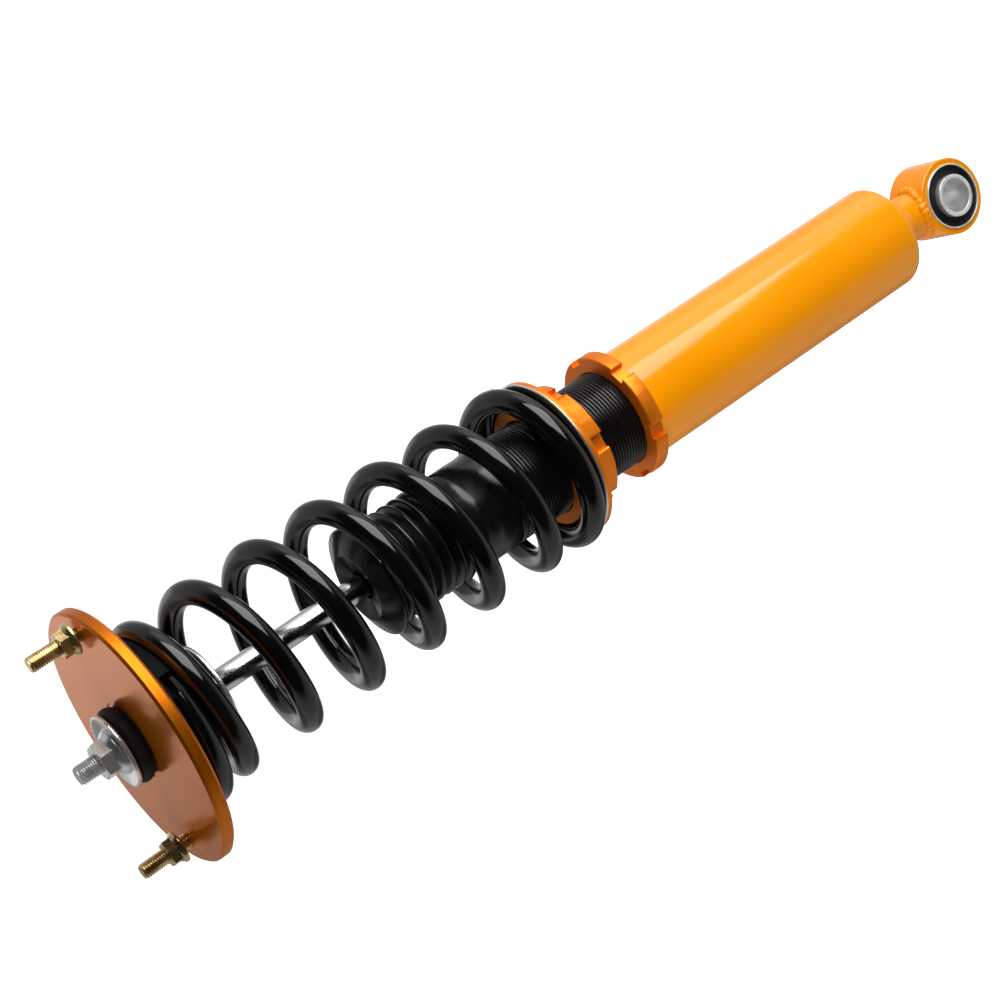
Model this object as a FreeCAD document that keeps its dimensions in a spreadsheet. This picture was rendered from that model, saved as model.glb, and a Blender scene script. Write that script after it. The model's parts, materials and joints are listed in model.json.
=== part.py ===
import FreeCAD, Part
import math
import os
import re

import Sketcher

# Coil-over damper with a two-stud top mount, a threaded body and a bushed eye, in millimetres.
# The origin is the centre of the top plate's upper face. +Z points up along the damper's axis,
# +X goes through the first stud. Everything below the plate has negative heights.

Vector = FreeCAD.Vector
UP = Vector(0, 0, 1)

SIZES = {
    # running and press clearances, on the radius
    "run_gap": 0.05,
    "press_gap": 0.02,
    "rubber_gap": 0.3,
    "thread_depth": 0.4,
    # top plate
    "plate_rim": 20.75,
    "plate_thickness": 7,
    "plate_bevel": 1.3,
    "plate_hole_radius": 15,
    "bush_seat_depth": 0.5,
    "bush_seat_gap": 0.5,
    # studs and their flange nuts
    "stud_count": 2,
    "stud_edge": 10.75,
    "stud_radius": 4,
    "stud_height": 26.2,
    "stud_tip_chamfer": 0.8,
    "stud_knurl_rise": 0.25,
    "stud_head_rim": 2.5,
    "stud_head_height": 2.5,
    "near_nut_lift": 2.4,
    "far_nut_lift": 4.4,
    "stud_nut_flats": 12,
    "stud_nut_height": 7.75,
    "stud_nut_rim": 1.3,
    # rubber bushes and washers round the rod
    "upper_bush_radius": 20,
    "upper_bush_height": 7.5,
    "upper_bush_round": 3,
    "bush_spigot": 2.8,
    "lower_bush_radius": 22.5,
    "lower_bush_height": 34,
    "lower_bush_round": 3,
    "sleeve_wall": 1.9,
    "top_washer_radius": 19.3,
    "lower_washer_radius": 23.7,
    "washer_thickness": 2,
    "washer_dish": 1.2,
    "washer_flat": 0.65,
    # piston rod and its top nut
    "rod_stud_radius": 5,
    "rod_shoulder": 1.25,
    "rod_tip_height": 31,
    "rod_tip_chamfer": 1,
    "rod_flat_depth": 0.9,
    "rod_flat_length": 8,
    "rod_flat_angle": -10,
    "rod_nut_flats": 17,
    "rod_nut_height": 10.4,
    "rod_nut_rim": 1.7,
    # upper spring seat
    "seat_thickness": 8,
    "seat_width": 9.75,
    "seat_pilot_height": 7,
    "seat_pilot_gap": 0.75,
    # main spring
    "spring_inner_radius": 35.25,
    "spring_wire_radius": 6.25,
    "spring_length": 244,
    "spring_grind": 4.5,
    "spring_head_pitch": 11.5,
    "spring_head_turns": 0.75,
    "spring_head_ramp": 0.55,
    "spring_active_turns": 5.31,
    "spring_foot_pitch": 6.5,
    "spring_foot_turns": 0.44,
    "spring_foot_ramp": 0.44,
    "spring_tip_angle": -61,
    # spring perch, isolator and lock collar
    "isolator_thickness": 1.5,
    "isolator_inset": 1,
    "perch_boss_gap": 1.25,
    "perch_boss_height": 7.5,
    "perch_flange_width": 10,
    "perch_flange_thickness": 3.5,
    "perch_ring_wall": 7.9,
    "perch_ring_height": 12.8,
    "notch_count": 6,
    "perch_notch_width": 8.5,
    "perch_notch_depth": 3.2,
    "perch_notch_angle": 40.15,
    "collar_gap": 27.3,
    "collar_wall": 8.7,
    "collar_height": 8.2,
    "collar_notch_width": 8.4,
    "collar_notch_depth": 3.2,
    "collar_notch_angle": 19.65,
    "edge_break": 0.5,
    # damper body
    "bore_radius": 23,
    "body_wall": 4,
    "neck_wall": 2,
    "neck_height": 22.5,
    "thread_above_spring_end": 39.5,
    "body_length": 293,
    "base_plug_height": 12,
    "key_flats": 10,
    "key_depth": 6,
    # rod guide, seals and snap ring
    "guide_inset": 3,
    "guide_height": 22,
    "guide_bush_wall": 1.2,
    "guide_bush_height": 11,
    "seal_wall": 4.7,
    "seal_height": 7,
    "ring_section": 1.7,
    "ring_squeeze": 0.1,
    "circlip_height": 1.5,
    "circlip_groove": 1,
    "circlip_width": 2.5,
    "circlip_opening": 9,
    # bump stop and its cap
    "bump_cap_thickness": 2,
    "bump_cap_hole": 8,
    "bump_stop_radius": 16.7,
    "bump_stop_waist": 3,
    # dust boot
    "boot_cuff_wall": 2.4,
    "boot_shoulder_height": 7,
    "boot_groove_radius": 24.3,
    "boot_rib_rise": 3.2,
    "boot_wall": 1.5,
    "boot_rib_count": 7,
    "boot_rib_pitch": 6.5,
    "boot_cup_height": 10.1,
    "boot_cup_rise": 5.7,
    "boot_nose_radius": 18.2,
    "boot_dish_depth": 2.9,
    "boot_floor": 3,
    "boot_rod_gap": 1.4,
    # piston pack
    "rebound_gap": 2,
    "rebound_stop_wall": 6,
    "rebound_stop_height": 8,
    "shim_width": 10,
    "shim_height": 1.2,
    "piston_height": 16,
    "piston_band_height": 8,
    "piston_band_wall": 1,
    "port_count": 6,
    "port_radius": 2,
    "port_circle": 14.5,
    "piston_nut_flats": 15,
    "piston_nut_height": 8,
    "rod_end_show": 2,
    # gas piston
    "gas_piston_depth": 178,
    "gas_piston_height": 20,
    "gas_piston_floor": 7,
    "gas_piston_wall": 5,
    # lower tube
    "tube_wall": 2.95,
    "tube_reserve": 17,
    "tube_end_wall": 8,
    "tube_end_round": 5,
    # eye
    "neck_show": 23.25,
    "neck_inset": 1,
    "neck_flare": 3.5,
    "eye_angle": -82.75,
    "eye_length": 29,
    "eye_bore_radius": 18.5,
    "eye_wall": 3.25,
    "outer_sleeve_wall": 1,
    "rubber_recess": 1.2,
    "pin_bore_radius": 9.5,
    "pin_sleeve_wall": 2.55,
    "pin_sleeve_length": 36,
    "pin_chamfer": 0.5,
    "weld_radius": 2.6,
}

# radii that several pieces share
SPRING_OUTER = "(spring_inner_radius + 2 * spring_wire_radius)"
PLATE_RADIUS = f"({SPRING_OUTER} + plate_rim)"
STUD_CIRCLE = f"({PLATE_RADIUS} - stud_edge)"
SLEEVE_RADIUS = "(rod_stud_radius + run_gap + sleeve_wall)"
ROD_RADIUS = "(rod_stud_radius + rod_shoulder)"
BODY_RADIUS = "(bore_radius + body_wall)"
NECK_RADIUS = "(bore_radius + neck_wall)"
THREAD_BORE = f"({BODY_RADIUS} + run_gap)"
TUBE_RADIUS = f"({THREAD_BORE} + tube_wall)"
BOSS_RADIUS = "(spring_inner_radius - perch_boss_gap)"
FLANGE_RADIUS = f"({BOSS_RADIUS} + perch_flange_width)"
EYE_RADIUS = "(eye_bore_radius + eye_wall)"
PIN_SLEEVE_RADIUS = "(pin_bore_radius + pin_sleeve_wall)"
STUB_RADIUS = "(eye_length / 2 - neck_inset)"

# heights of the pieces' seats, down the axis
SPRING_TOP = "(0 - plate_thickness - seat_thickness)"
SPRING_END = f"({SPRING_TOP} - spring_length)"
PERCH_END = f"({SPRING_END} - isolator_thickness - perch_flange_thickness - perch_ring_height)"
TUBE_TOP = f"({PERCH_END} - collar_gap - collar_height)"
THREAD_TOP = f"({SPRING_END} + thread_above_spring_end)"
BODY_TOP = f"({THREAD_TOP} + neck_height)"
BODY_END = f"({BODY_TOP} - body_length)"
TUBE_END = f"({BODY_END} - tube_reserve - tube_end_wall)"
EYE_CENTRE = f"({TUBE_END} - neck_show - {EYE_RADIUS})"
ROD_SHOULDER = "(0 - plate_thickness - lower_bush_height - washer_thickness)"
WASHER_TOP = "(upper_bush_height + washer_thickness)"
GUIDE_END = f"({BODY_TOP} - guide_inset - guide_height)"
PACK_TOP = f"({GUIDE_END} - rebound_gap - rebound_stop_height)"
PISTON_END = f"({PACK_TOP} - shim_height - piston_height)"
PISTON_NUT_END = f"({PISTON_END} - shim_height - piston_nut_height)"
GAS_PISTON_END = f"({BODY_TOP} - gas_piston_depth - gas_piston_height)"
RIBS_START = "(neck_height + boot_shoulder_height)"
RIBS_END = f"({RIBS_START} + boot_rib_count * boot_rib_pitch)"
BOOT_HEIGHT = f"({RIBS_END} + boot_cup_height)"
BOOT_FLOOR = f"({BOOT_HEIGHT} - boot_dish_depth - boot_floor)"

doc = FreeCAD.newDocument("coilover")
sheet = doc.addObject("Spreadsheet::Sheet", "Sizes")
for row, (size_name, size) in enumerate(SIZES.items(), 1):
    sheet.set(f"A{row}", size_name)
    sheet.set(f"B{row}", str(size))
    sheet.setAlias(f"B{row}", size_name)
doc.recompute()
nodes = []


def formula(text):
    """The text with every size's name led by its sheet."""
    return re.sub(r"[a-z]\w*", lambda word: f"Sizes.{word[0]}" if word[0] in SIZES else word[0], text)


def value(text):
    return float(sheet.evalExpression(formula(text)))


def bind(item, place, text):
    item.setExpression(place, formula(text))


def origin_part(body, role):
    return next(item for item in body.Origin.OriginFeatures if item.Role == role)


def new_body(label, level="0", turn=None, node=True):
    """An empty body whose own origin lies on the axis at the given height, turned about it if asked."""
    body = doc.addObject("PartDesign::Body", label)
    body.Label = label
    bind(body, "Placement.Base.z", level)
    if turn:
        body.Placement.Rotation = FreeCAD.Rotation(UP, value(turn))
        bind(body, "Placement.Rotation.Angle", turn)
    if node:
        nodes.append(body)
    return body


def outline(body, name, corners, plane="XZ_Plane"):
    """A closed outline of straight edges on an origin plane, each corner held by two bound distances."""
    sketch = body.newObject("Sketcher::SketchObject", name)
    sketch.AttachmentSupport = [(origin_part(body, plane), "")]
    sketch.MapMode = "FlatFace"
    points = [Vector(value(across), value(up), 0) for across, up in corners]
    count = len(points)
    sketch.addGeometry([Part.LineSegment(points[i], points[(i + 1) % count]) for i in range(count)], False)
    joins = [Sketcher.Constraint("Coincident", i, 2, (i + 1) % count, 1) for i in range(count)]
    places = []
    for index, (across, up) in enumerate(corners):
        places.append(("DistanceX", index, across))
        places.append(("DistanceY", index, up))
    held = [Sketcher.Constraint(kind, -1, 1, index, 1, value(text)) for kind, index, text in places]
    sketch.addConstraint(joins + held)
    for number, (kind, index, text) in enumerate(places, len(joins)):
        bind(sketch, f"Constraints[{number}]", text)
    return sketch


def circle_outline(body, name, radius, across="0", up="0", plane="XY_Plane"):
    """A circle on an origin plane, with its centre and radius bound."""
    sketch = body.newObject("Sketcher::SketchObject", name)
    sketch.AttachmentSupport = [(origin_part(body, plane), "")]
    sketch.MapMode = "FlatFace"
    centre = Vector(value(across), value(up), 0)
    sketch.addGeometry(Part.Circle(centre, Vector(0, 0, 1), value(radius)), False)
    for kind, text in (("DistanceX", across), ("DistanceY", up)):
        number = sketch.addConstraint(Sketcher.Constraint(kind, -1, 1, 0, 3, value(text)))
        bind(sketch, f"Constraints[{number}]", text)
    number = sketch.addConstraint(Sketcher.Constraint("Radius", 0, value(radius)))
    bind(sketch, f"Constraints[{number}]", radius)
    return sketch


def turned(body, corners, name="Turned"):
    """A solid of revolution about the body's own axis."""
    sketch = outline(body, f"{name}Profile", corners)
    feature = body.newObject("PartDesign::Revolution", name)
    feature.Profile = sketch
    feature.ReferenceAxis = (sketch, ["V_Axis"])
    feature.Angle = 360
    return feature


def must_cut(body, before):
    """Stops when the last cut took nothing away."""
    doc.recompute()
    if not body.Shape.Volume < before - 0.01:
        raise RuntimeError(f"a cut in {body.Label} removed nothing")


def turned_cut(body, corners, name="TurnedCut"):
    doc.recompute()
    before = body.Shape.Volume
    sketch = outline(body, f"{name}Profile", corners)
    feature = body.newObject("PartDesign::Groove", name)
    feature.Profile = sketch
    feature.ReferenceAxis = (sketch, ["V_Axis"])
    feature.Angle = 360
    must_cut(body, before)
    return feature


def cut_through(body, sketch, name, both_ways=False, depth=None):
    """A pocket up from its sketch, right through or to a depth, or through both ways."""
    doc.recompute()
    before = body.Shape.Volume
    feature = body.newObject("PartDesign::Pocket", name)
    feature.Profile = sketch
    feature.Reversed = True
    if both_ways:
        feature.SideType = "Symmetric"
    if depth:
        bind(feature, "Length", depth)
    else:
        feature.Type = "ThroughAll"
    must_cut(body, before)
    return feature


def repeated(body, feature, count, name="Pattern"):
    """Copies of a cut, evenly spaced round the body's axis."""
    doc.recompute()
    before = body.Shape.Volume
    pattern = body.newObject("PartDesign::PolarPattern", name)
    pattern.Originals = [feature]
    pattern.Axis = (origin_part(body, "Z_Axis"), [""])
    pattern.Angle = 360
    bind(pattern, "Occurrences", count)
    body.Tip = pattern
    must_cut(body, before)
    return pattern


def box_cut(body, name, start, size):
    """A box taken away, from its lowest corner, with its three lengths."""
    doc.recompute()
    before = body.Shape.Volume
    box = body.newObject("PartDesign::SubtractiveBox", name)
    for axis, text in zip("xyz", start):
        bind(box, f"Placement.Base.{axis}", text)
    for side, text in zip(("Length", "Width", "Height"), size):
        bind(box, side, text)
    must_cut(body, before)
    return box


def rounded(body, feature, rims, radius, name="Rounded"):
    """Fillets on the round edges that lie at the given radii and heights."""
    doc.recompute()
    wanted = [(value(across), value(up)) for across, up in rims]
    edges = []
    for number, edge in enumerate(feature.Shape.Edges, 1):
        if edge.Curve.TypeId != "Part::GeomCircle":
            continue
        size = edge.Curve.Radius
        height = edge.Curve.Center.z
        if any(abs(size - across) < 1e-4 and abs(height - up) < 1e-4 for across, up in wanted):
            edges.append(f"Edge{number}")
    if len(edges) < len(wanted):
        raise RuntimeError(f"{body.Label} has {len(edges)} of the {len(wanted)} edges to round")
    fillet = body.newObject("PartDesign::Fillet", name)
    fillet.Base = (feature, edges)
    bind(fillet, "Radius", radius)
    return fillet


def hexagon(flats):
    """The six corners of a hexagon that measures so much across its flats."""
    corner = f"({flats}) / 2 / cos(30)"
    return [(f"{corner} * cos({60 * side})", f"{corner} * sin({60 * side})") for side in range(6)]


def hex_prism(body, flats, height, name="Hexagon"):
    sketch = outline(body, f"{name}Outline", hexagon(flats), "XY_Plane")
    pad = body.newObject("PartDesign::Pad", name)
    pad.Profile = sketch
    bind(pad, "Length", height)
    return pad


def nut(label, level, flats, height, bore, rim=None, node=True):
    """A hexagon nut with chamfered corners, and a flange when a rim is given."""
    body = new_body(label, level, node=node)
    hex_prism(body, flats, height)
    corner = f"(({flats}) / 2 / cos(30))"
    if rim:
        turned(body, [
            (bore, "0"),
            (f"{corner} + {rim}", "0"),
            (f"{corner} + {rim}", f"{height} * 0.15"),
            (f"{corner} * 0.93", f"{height} * 0.4"),
            (bore, f"{height} * 0.4"),
        ], "Flange")
    turned_cut(body, [
        (f"({flats}) / 2 * 0.97", height),
        (f"{corner} * 1.1", height),
        (f"{corner} * 1.1", f"{height} - ({corner} * 1.1 - ({flats}) / 2 * 0.97) * 0.577"),
    ], "Corners")
    cut_through(body, circle_outline(body, "BoreCircle", bore), "Bore")
    return body


def group(label, bodies):
    """Identical pieces that share one node, each still its own solid."""
    compound = doc.addObject("Part::Compound", label)
    compound.Label = label
    compound.Links = bodies
    nodes.append(compound)


def top_plate():
    body = new_body("top_plate", "0 - plate_thickness")
    seat = "(upper_bush_radius + bush_seat_gap)"
    turned(body, [
        ("plate_hole_radius", "0"),
        (f"{PLATE_RADIUS} - plate_bevel", "0"),
        (PLATE_RADIUS, "plate_bevel"),
        (PLATE_RADIUS, "plate_thickness - plate_bevel"),
        (f"{PLATE_RADIUS} - plate_bevel", "plate_thickness"),
        (seat, "plate_thickness"),
        (seat, "plate_thickness - bush_seat_depth"),
        ("plate_hole_radius", "plate_thickness - bush_seat_depth"),
    ])
    hole = circle_outline(body, "StudHole", "stud_radius + stud_knurl_rise", STUD_CIRCLE)
    repeated(body, cut_through(body, hole, "StudBore"), "stud_count")


def stud(label, side, lift):
    """A pressed-in stud: head behind the plate, knurl in it, thread above, waisted inside its nut."""
    body = new_body(label, "0 - plate_thickness - stud_head_height", node=False)
    bind(body, "Placement.Base.x", f"{side} * {STUD_CIRCLE}")
    face = "(stud_head_height + plate_thickness)"
    waist = "stud_radius - thread_depth"
    tip = f"{face} + stud_height"
    turned(body, [
        ("0", "0"),
        ("stud_radius + stud_head_rim", "0"),
        ("stud_radius + stud_head_rim", "stud_head_height"),
        ("stud_radius + stud_knurl_rise", "stud_head_height"),
        ("stud_radius + stud_knurl_rise", face),
        ("stud_radius", face),
        ("stud_radius", f"{face} + {lift}"),
        (waist, f"{face} + {lift}"),
        (waist, f"{face} + {lift} + stud_nut_height"),
        ("stud_radius", f"{face} + {lift} + stud_nut_height"),
        ("stud_radius", f"{tip} - stud_tip_chamfer"),
        ("stud_radius - stud_tip_chamfer", tip),
        ("0", tip),
    ])
    return body


def studs_and_nuts():
    places = (("near", 1, "near_nut_lift"), ("far", -1, "far_nut_lift"))
    group("mounting_studs", [stud(f"{name}_stud", side, lift) for name, side, lift in places])
    bore = "stud_radius - thread_depth + run_gap"
    nuts = []
    for name, side, lift in places:
        body = nut(f"{name}_nut", lift, "stud_nut_flats", "stud_nut_height", bore, "stud_nut_rim", False)
        bind(body, "Placement.Base.x", f"{side} * {STUD_CIRCLE}")
        nuts.append(body)
    group("stud_nuts", nuts)


def top_mount_stack():
    """Bushes, washers, spacer sleeve and nut that clamp the rod to the plate."""
    spigot_radius = "plate_hole_radius - rubber_gap"
    bore = f"{SLEEVE_RADIUS} + run_gap"
    upper = new_body("upper_bush", "0 - bush_seat_depth - bush_spigot")
    height = "bush_spigot + bush_seat_depth + upper_bush_height"
    feature = turned(upper, [
        (bore, "0"),
        (spigot_radius, "0"),
        (spigot_radius, "bush_spigot"),
        ("upper_bush_radius", "bush_spigot"),
        ("upper_bush_radius", height),
        (bore, height),
    ])
    rounded(upper, feature, [("upper_bush_radius", height)], "upper_bush_round")

    lower = new_body("lower_bush", "0 - plate_thickness - lower_bush_height")
    feature = turned(lower, [
        (bore, "0"),
        ("lower_bush_radius", "0"),
        ("lower_bush_radius", "lower_bush_height"),
        (spigot_radius, "lower_bush_height"),
        (spigot_radius, "lower_bush_height + bush_spigot"),
        (bore, "lower_bush_height + bush_spigot"),
    ])
    rims = [("lower_bush_radius", "0"), ("lower_bush_radius", "lower_bush_height")]
    rounded(lower, feature, rims, "lower_bush_round")

    sleeve = new_body("spacer_sleeve", "0 - plate_thickness - lower_bush_height")
    span = "plate_thickness + lower_bush_height + upper_bush_height"
    turned(sleeve, [
        ("rod_stud_radius + run_gap", "0"),
        (SLEEVE_RADIUS, "0"),
        (SLEEVE_RADIUS, span),
        ("rod_stud_radius + run_gap", span),
    ])

    washer("top_washer", "upper_bush_height", "top_washer_radius", 1)
    washer("lower_washer", ROD_SHOULDER, "lower_washer_radius", -1)
    bore = "rod_stud_radius - thread_depth + run_gap"
    nut("rod_nut", WASHER_TOP, "rod_nut_flats", "rod_nut_height", bore, "rod_nut_rim")


def washer(label, level, radius, side):
    """A dished washer, flat in the middle, whose rim leans up (side 1) or down (side -1)."""
    body = new_body(label, level)
    hole = "rod_stud_radius + run_gap"
    flat = f"{radius} * washer_flat"
    turned(body, [
        (hole, "0"),
        (flat, "0"),
        (radius, f"{side} * washer_dish"),
        (radius, f"{side} * washer_dish + washer_thickness"),
        (flat, "washer_thickness"),
        (hole, "washer_thickness"),
    ])


def upper_spring_seat():
    body = new_body("upper_spring_seat", f"{SPRING_TOP} - seat_pilot_height")
    hole = "lower_bush_radius + bush_seat_gap"
    pilot = "spring_inner_radius - seat_pilot_gap"
    rim = "spring_inner_radius + seat_width"
    top = "seat_pilot_height + seat_thickness"
    turned(body, [
        (hole, "0"),
        (f"{pilot} - 2 * edge_break", "0"),
        (pilot, "2 * edge_break"),
        (pilot, "seat_pilot_height"),
        (rim, "seat_pilot_height"),
        (rim, f"{top} - 2 * edge_break"),
        (f"{rim} - 2 * edge_break", top),
        (hole, top),
    ])


def biarc(start, start_way, end, end_way):
    """Two arcs that leave start and reach end along the given unit directions, tangent where they meet."""
    span = end - start
    ways = start_way + end_way
    spread = 2 * (1 - start_way.dot(end_way))
    along = span.dot(ways)
    reach = (math.sqrt(along * along + spread * span.dot(span)) - along) / spread
    meet = (start + end + (start_way - end_way) * reach) * 0.5
    arcs = []
    for first, last, tip in ((start, meet, start + start_way * reach), (meet, end, end - end_way * reach)):
        middle = (first + last) * 0.5
        rise = tip - middle
        half = (last - first).Length / 2
        sag = half * math.tan(math.atan2(rise.Length, half) / 2)
        arcs.append(Part.Arc(first, middle + rise * (sag / rise.Length), last).toShape())
    return arcs


def spring_drop(turn, end_pitch, end_turns, ramp_turns, pitch):
    """How far the wire's centre has dropped after so many turns from one end, past its closed turns."""
    if turn <= end_turns:
        return end_pitch * turn
    ramp = min(turn - end_turns, ramp_turns)
    steady = turn - end_turns - ramp
    slope = (pitch - end_pitch) / ramp_turns
    return end_pitch * (end_turns + ramp) + slope * ramp * ramp / 2 + pitch * steady


def spring_centreline():
    """The wire's centreline as a function of turns from its upper tip, and the number of turns."""
    wire = value("spring_wire_radius")
    radius = value("spring_inner_radius") + wire
    tip = value(f"{SPRING_TOP} - spring_wire_radius + spring_grind")
    ends = []
    for end in ("head", "foot"):
        ends.append([value(f"spring_{end}_{size}") for size in ("pitch", "turns", "ramp")])
    active = value("spring_active_turns")
    total = active + sum(turns + ramp for _, turns, ramp in ends)
    drop = value("spring_length") - 2 * (wire - value("spring_grind"))
    closed = sum(pitch * (turns + ramp / 2) for pitch, turns, ramp in ends)
    pitch = (drop - closed) / (active + sum(ramp / 2 for _, _, ramp in ends))
    first_angle = math.radians(value("spring_tip_angle"))

    def point(turn):
        if turn <= total / 2:
            fall = spring_drop(turn, *ends[0], pitch)
        else:
            fall = drop - spring_drop(total - turn, *ends[1], pitch)
        angle = first_angle - 2 * math.pi * turn
        return Vector(radius * math.cos(angle), radius * math.sin(angle), tip - fall)

    return point, total, wire


def main_spring():
    point, total, wire = spring_centreline()
    step = 0.001

    def way(turn):
        return (point(min(turn + step, total)) - point(max(turn - step, 0))).normalize()

    spans = math.ceil(total * 4)
    stations = [total * index / spans for index in range(spans + 1)]
    arcs = []
    for first, last in zip(stations, stations[1:]):
        arcs += biarc(point(first), way(first), point(last), way(last))
    path = doc.addObject("Part::Feature", "SpringPath")
    path.Shape = Part.Wire(arcs)
    section = doc.addObject("Part::Circle", "SpringWire")
    bind(section, "Radius", "spring_wire_radius")
    section.Placement = FreeCAD.Placement(point(0), FreeCAD.Rotation(UP, way(0)))
    tube = doc.addObject("Part::Sweep", "SpringTube")
    tube.Sections = [section]
    tube.Spine = (path, [f"Edge{number}" for number in range(1, len(arcs) + 1)])
    tube.Solid = True
    tube.Frenet = False
    room = doc.addObject("Part::Cylinder", "SpringRoom")
    bind(room, "Radius", f"{SPRING_OUTER} * 1.1")
    bind(room, "Height", "spring_length")
    bind(room, "Placement.Base.z", SPRING_END)
    ground = doc.addObject("Part::Common", "main_spring")
    ground.Label = "main_spring"
    ground.Base = tube
    ground.Tool = room
    nodes.append(ground)

    samples = [point(total * index / 1500) for index in range(1501)]
    apart = int(0.5 / total * 1500)
    pairs = ((a, b) for i, a in enumerate(samples) for b in samples[i + apart::2])
    gap = min(a.distanceToPoint(b) for a, b in pairs) - 2 * wire
    print(f"main_spring: {total:.2f} turns, least gap to itself {gap:.2f} mm")


def isolator_and_perch():
    isolator = new_body("spring_isolator", f"{SPRING_END} - isolator_thickness")
    inner = f"{BOSS_RADIUS} + run_gap"
    outer = f"{FLANGE_RADIUS} - isolator_inset"
    turned(isolator, [
        (inner, "0"),
        (outer, "0"),
        (outer, "isolator_thickness"),
        (inner, "isolator_thickness"),
    ])

    perch = new_body("spring_perch", PERCH_END, "perch_notch_angle")
    ring = f"({BODY_RADIUS} + perch_ring_wall)"
    flange_top = "(perch_ring_height + perch_flange_thickness)"
    boss_top = f"({flange_top} + perch_boss_height)"
    turned(perch, [
        (f"{THREAD_BORE} + edge_break", "0"),
        (f"{ring} - edge_break", "0"),
        (ring, "edge_break"),
        (ring, "perch_ring_height"),
        (FLANGE_RADIUS, "perch_ring_height"),
        (FLANGE_RADIUS, f"{flange_top} - edge_break"),
        (f"{FLANGE_RADIUS} - edge_break", flange_top),
        (BOSS_RADIUS, flange_top),
        (BOSS_RADIUS, f"{boss_top} - edge_break"),
        (f"{BOSS_RADIUS} - edge_break", boss_top),
        (f"{THREAD_BORE} + edge_break", boss_top),
        (THREAD_BORE, f"{boss_top} - edge_break"),
        (THREAD_BORE, "edge_break"),
    ])
    castellated(perch, ring, "perch_ring_height", "perch_notch_width", "perch_notch_depth")


def castellated(body, radius, height, width, depth):
    """Wrench notches round a ring's rim, as wide and deep as given."""
    start = (f"{radius} - {depth}", f"0 - {width} / 2", "0")
    size = (f"{depth} * 2", width, height)
    repeated(body, box_cut(body, "Notch", start, size), "notch_count", "Notches")


def lock_collar():
    body = new_body("lock_collar", TUBE_TOP, "collar_notch_angle")
    rim = f"({BODY_RADIUS} + collar_wall)"
    turned(body, [
        (f"{THREAD_BORE} + edge_break", "0"),
        (f"{rim} - edge_break", "0"),
        (rim, "edge_break"),
        (rim, "collar_height - edge_break"),
        (f"{rim} - edge_break", "collar_height"),
        (f"{THREAD_BORE} + edge_break", "collar_height"),
        (THREAD_BORE, "collar_height - edge_break"),
        (THREAD_BORE, "edge_break"),
    ])
    castellated(body, rim, "collar_height", "collar_notch_width", "collar_notch_depth")


def damper_body():
    body = new_body("damper_tube", BODY_END)
    thread_top = "(body_length - neck_height)"
    clip_top = "(body_length - guide_inset + circlip_height)"
    turned(body, [
        ("bore_radius", "0"),
        (f"{BODY_RADIUS} - 2 * edge_break", "0"),
        (BODY_RADIUS, "2 * edge_break"),
        (BODY_RADIUS, f"{thread_top} - 2 * edge_break"),
        (f"{BODY_RADIUS} - 2 * edge_break", thread_top),
        (NECK_RADIUS, thread_top),
        (NECK_RADIUS, "body_length"),
        ("bore_radius", "body_length"),
        ("bore_radius", clip_top),
        ("bore_radius + circlip_groove", clip_top),
        ("bore_radius + circlip_groove", "body_length - guide_inset"),
        ("bore_radius", "body_length - guide_inset"),
    ])

    plug = new_body("base_plug", BODY_END)
    radius = "bore_radius - press_gap"
    turned(plug, [
        ("0", "0"),
        (f"{radius} - edge_break", "0"),
        (radius, "edge_break"),
        (radius, "base_plug_height"),
        ("0", "base_plug_height"),
    ])
    key = outline(plug, "KeyOutline", hexagon("key_flats"), "XY_Plane")
    cut_through(plug, key, "KeySocket", depth="key_depth")


def o_ring(label, level, floor):
    """A ring of round section that fills its groove, from the groove's floor to the tube's bore."""
    ring = doc.addObject("Part::Torus", label)
    ring.Label = label
    bind(ring, "Radius1", f"({floor} + bore_radius) / 2")
    bind(ring, "Radius2", f"(bore_radius - {floor}) / 2 - press_gap")
    bind(ring, "Placement.Base.z", level)
    nodes.append(ring)


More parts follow.
